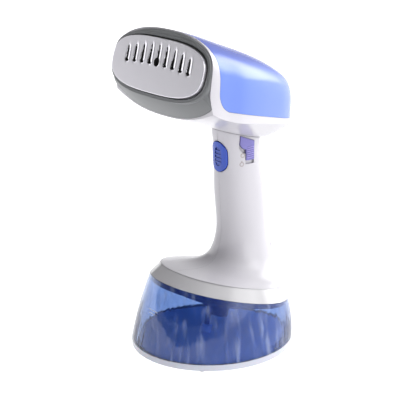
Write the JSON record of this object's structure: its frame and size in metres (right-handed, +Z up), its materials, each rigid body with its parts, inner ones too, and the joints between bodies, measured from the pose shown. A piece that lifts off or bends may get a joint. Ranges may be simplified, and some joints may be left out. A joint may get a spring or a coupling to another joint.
{
  "type": "garment steamer",
  "caption": "Handheld garment steamer: oval steam plate on a tilted head, slim grip with trigger and lock slider, and a round water tank below that it stands on.",
  "frame": {"origin": "middle of the tank base's footprint, on the surface the steamer stands on", "axes": "+Z up along the grip, the steam plate faces -Y, X is left to right across the plate"},
  "size_m": [0.1262, 0.1417, 0.2596],
  "materials": {
    "white_shell": "satin white moulding",
    "grey_frame": "satin grey moulding",
    "periwinkle_cover": "glossy light blue moulding",
    "steam_plate": "satin aluminium",
    "blue_button": "satin blue moulding",
    "lilac_slider": "satin lilac moulding",
    "blue_tank": "clear deep blue plastic",
    "pearl_trim": "pearl grey moulding",
    "clear_base": "pale base moulding",
    "rubber": "soft black rubber",
    "silicone": "translucent silicone",
    "inner_plastic": "plain natural moulding",
    "black_plastic": "black moulding",
    "cast_aluminium": "as cast",
    "spring_steel": "bright wire",
    "screw_steel": "zinc plated",
    "heater_steel": "dull sheath",
    "circuit_board": "green laminate"
  },
  "bodies": {
    "steamer_body": {"board_relay": "black_plastic", "body_floor": "inner_plastic", "boiler": "cast_aluminium", "boiler_carrier": "inner_plastic", "boiler_lid": "cast_aluminium", "boiler_screw_1": "screw_steel", "boiler_screw_2": "screw_steel", "boiler_screw_3": "screw_steel", "boiler_screw_4": "screw_steel", "control_board": "circuit_board", "cord_gland": "black_plastic", "coupling_spigot": "inner_plastic", "grip_left": "white_shell", "grip_right": "white_shell", "grip_screw_1": "screw_steel", "grip_screw_2": "screw_steel", "grip_screw_3": "screw_steel", "grip_screw_4": "screw_steel", "head_bezel": "grey_frame", "head_cover": "periwinkle_cover", "head_shell": "white_shell", "heating_element": "heater_steel", "latch_spring_left": "spring_steel", "latch_spring_right": "spring_steel", "micro_switch": "black_plastic", "plate_gasket": "rubber", "pump_inlet_hose": "silicone", "pump_mount_lower": "rubber", "pump_mount_upper": "rubber", "pump_outlet_hose": "silicone", "steam_plate": "steam_plate", "switch_bracket": "inner_plastic", "thermal_fuse": "inner_plastic", "thermostat": "black_plastic", "trigger_spring": "spring_steel", "trim_ring": "pearl_trim", "water_pump": "black_plastic"},
    "water_tank": {"tank_body": "blue_tank", "tank_lid": "inner_plastic", "tank_catch": "inner_plastic", "tank_lid_seal": "silicone", "filler_stopper": "silicone", "tank_coupling": "inner_plastic", "coupling_seal": "rubber", "suction_tube": "silicone", "suction_filter": "inner_plastic", "tank_base": "clear_base", "foot_ring": "rubber", "tank_foot_1": "rubber", "tank_foot_2": "rubber", "tank_foot_3": "rubber", "tank_foot_4": "rubber"},
    "trigger": {"steam_trigger": "blue_button"},
    "slider": {"lock_slider": "lilac_slider", "slider_clip": "inner_plastic"},
    "release": {"release_button": "blue_button"}
  },
  "joints": [
    {"name": "tank_slide", "type": "slide", "parent": "steamer_body", "child": "water_tank", "axis": [0, -0.238, -0.9713], "range_m": [0, 0.06]},
    {"name": "trigger_press", "type": "slide", "parent": "steamer_body", "child": "trigger", "axis": [0, 1, 0], "range_m": [0, 0.0025], "stiffness_N_per_m": 800, "springref_m": -0.002, "deforming": ["trigger_spring"]},
    {"name": "lock_slide", "type": "slide", "parent": "steamer_body", "child": "slider", "axis": [0, 0, -1], "range_m": [0, 0.003]},
    {"name": "release_press", "type": "slide", "parent": "steamer_body", "child": "release", "axis": [0, -0.9713, 0.238], "range_m": [0, 0.002], "stiffness_N_per_m": 900, "springref_m": -0.002, "deforming": ["latch_spring_left", "latch_spring_right"]}
  ]
}
